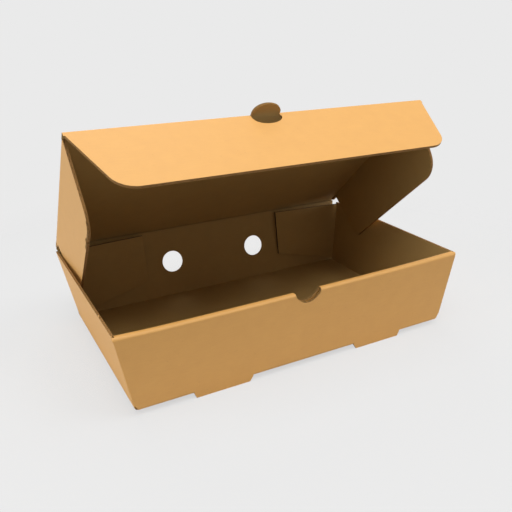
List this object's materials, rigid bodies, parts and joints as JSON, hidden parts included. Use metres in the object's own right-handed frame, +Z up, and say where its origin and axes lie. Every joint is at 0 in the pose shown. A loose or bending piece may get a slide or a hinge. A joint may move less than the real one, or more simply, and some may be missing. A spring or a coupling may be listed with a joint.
{
  "type": "sandwich box",
  "caption": "Folded kraft board sandwich box, its hinged lid half open with tuck flap and side ears, rolled front wall with thumb notch and feet, and vented back wall.",
  "frame": {"origin": "middle of the base's underside", "axes": "+X to the right along the front wall, +Y to the back, +Z up"},
  "size_m": [0.26, 0.1671, 0.1711],
  "materials": {
    "kraft_board": "matte"
  },
  "bodies": {
    "tray": {"tray": "kraft_board"},
    "lid": {"lid": "kraft_board"},
    "tuck_flap": {"tuck_flap": "kraft_board"},
    "left_ear": {"left_ear": "kraft_board"},
    "right_ear": {"right_ear": "kraft_board"}
  },
  "joints": [
    {"name": "lid_hinge", "type": "hinge", "parent": "tray", "child": "lid", "pos_m": [0, 0.08652, 0.0577], "axis": [-1, 0, 0], "range_deg": [-41.7, 54.4]},
    {"name": "flap_crease", "type": "hinge", "parent": "lid", "child": "tuck_flap", "pos_m": [0, -0.02699, 0.15883], "axis": [-1, 0, 0], "range_deg": [-51, 66.4]},
    {"name": "left_ear_crease", "type": "hinge", "parent": "lid", "child": "left_ear", "pos_m": [-0.12738, 0.08652, 0.0577], "axis": [0, 0.7466, -0.6652], "range_deg": [-6.6, 8.5]},
    {"name": "right_ear_crease", "type": "hinge", "parent": "lid", "child": "right_ear", "pos_m": [0.12738, 0.08652, 0.0577], "axis": [0, -0.7466, 0.6652], "range_deg": [-6.6, 8.5]}
  ],
  "couplings": [
    {"joint": "flap_crease", "follows": "lid_hinge", "ratio": 1.22},
    {"joint": "left_ear_crease", "follows": "lid_hinge", "ratio": 0.155},
    {"joint": "right_ear_crease", "follows": "lid_hinge", "ratio": 0.155}
  ]
}
